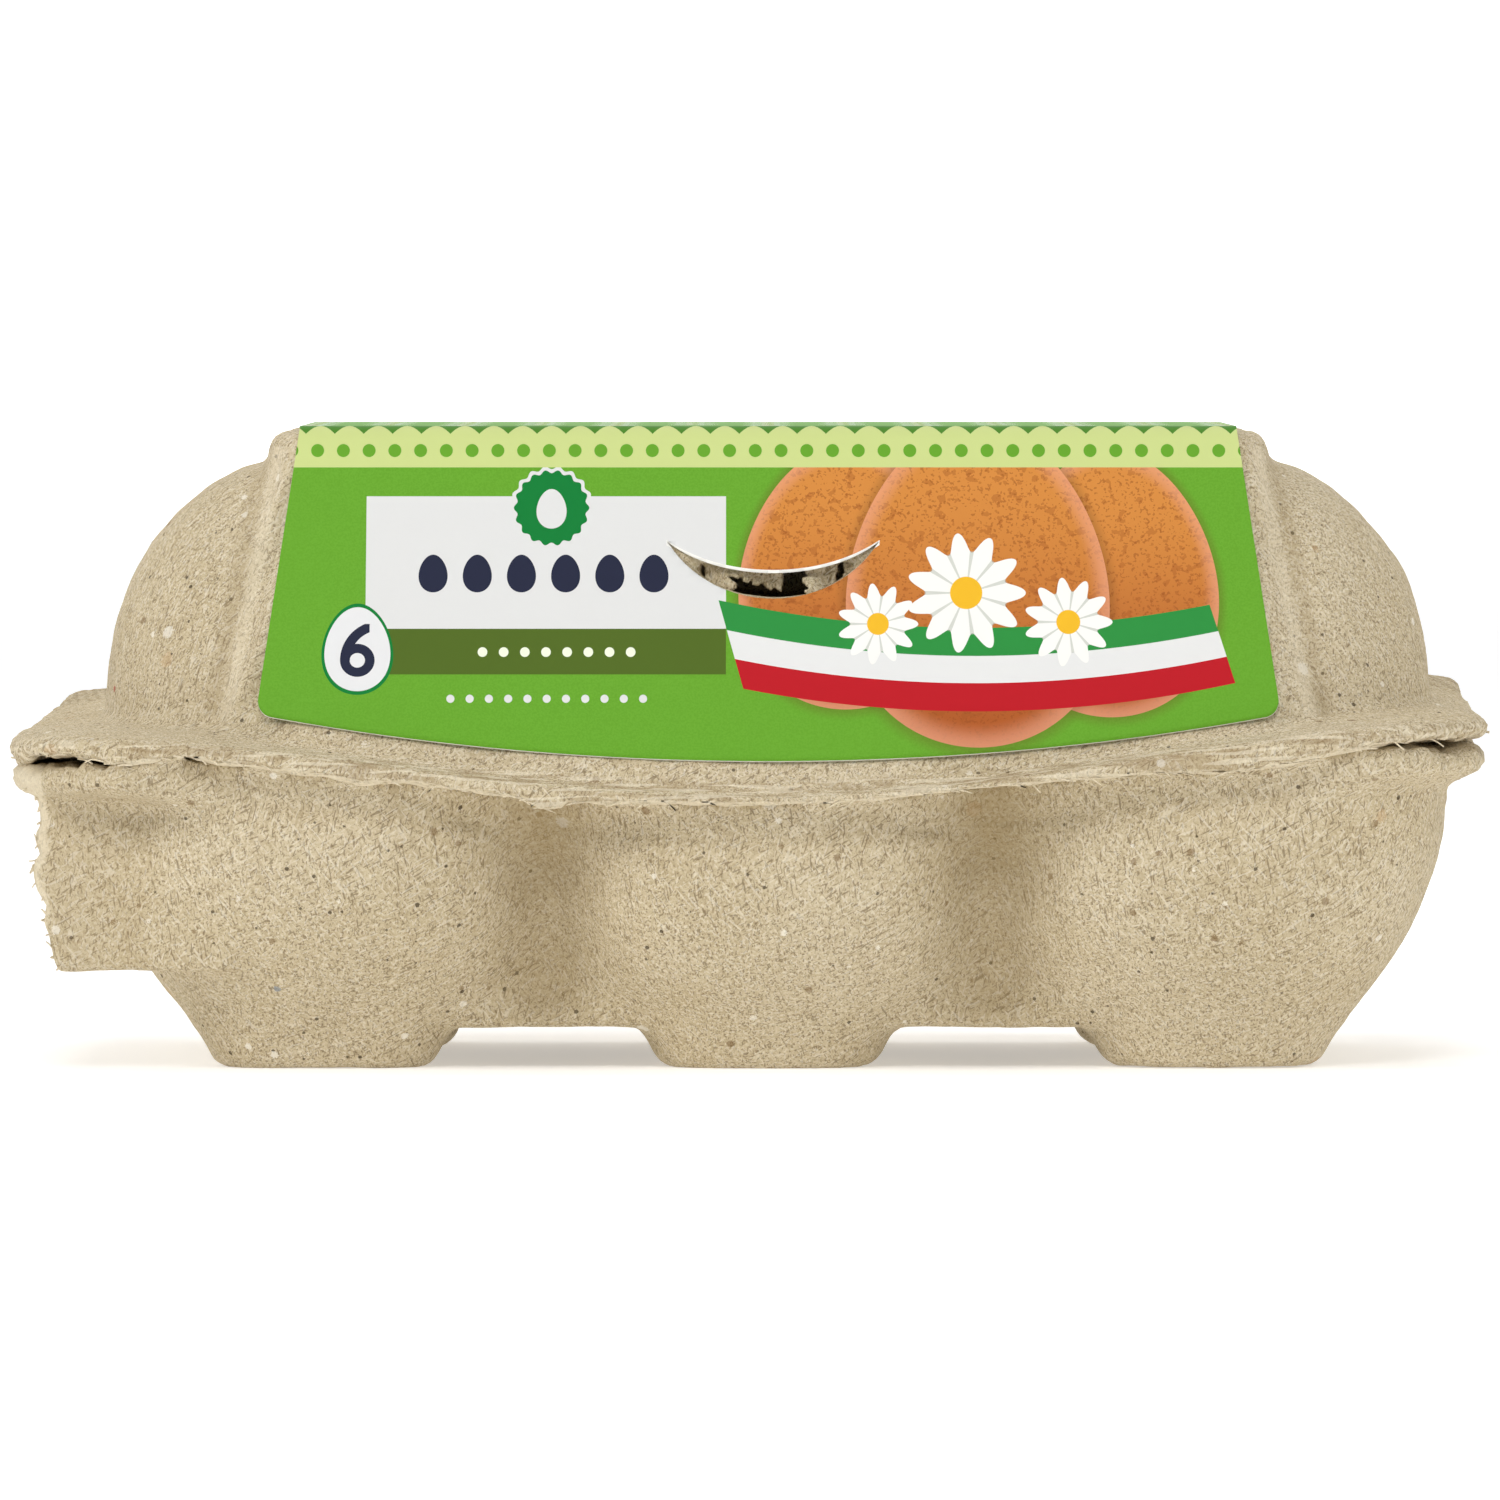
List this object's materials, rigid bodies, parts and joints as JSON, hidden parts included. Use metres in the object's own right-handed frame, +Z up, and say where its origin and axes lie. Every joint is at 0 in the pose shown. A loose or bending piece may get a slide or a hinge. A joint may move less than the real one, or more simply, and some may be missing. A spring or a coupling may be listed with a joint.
{
  "type": "moulded pulp egg carton with label",
  "caption": "Shut grey-beige moulded pulp egg carton with cup-shaped tray, domed lid, torn left end and a green paper label wrapped over the lid.",
  "frame": {"origin": "on the table under the middle of the carton's box", "axes": "+X along the carton's length to its clean right end, +Y from the label side to the hinge, +Z up"},
  "size_m": [0.1546, 0.104, 0.0672],
  "materials": {
    "pulp": "rough felted moulded pulp with fibres and flecks",
    "printed_paper": "matt printed paper"
  },
  "bodies": {
    "root": {"carton": "pulp", "label": "printed_paper"}
  },
  "joints": []
}
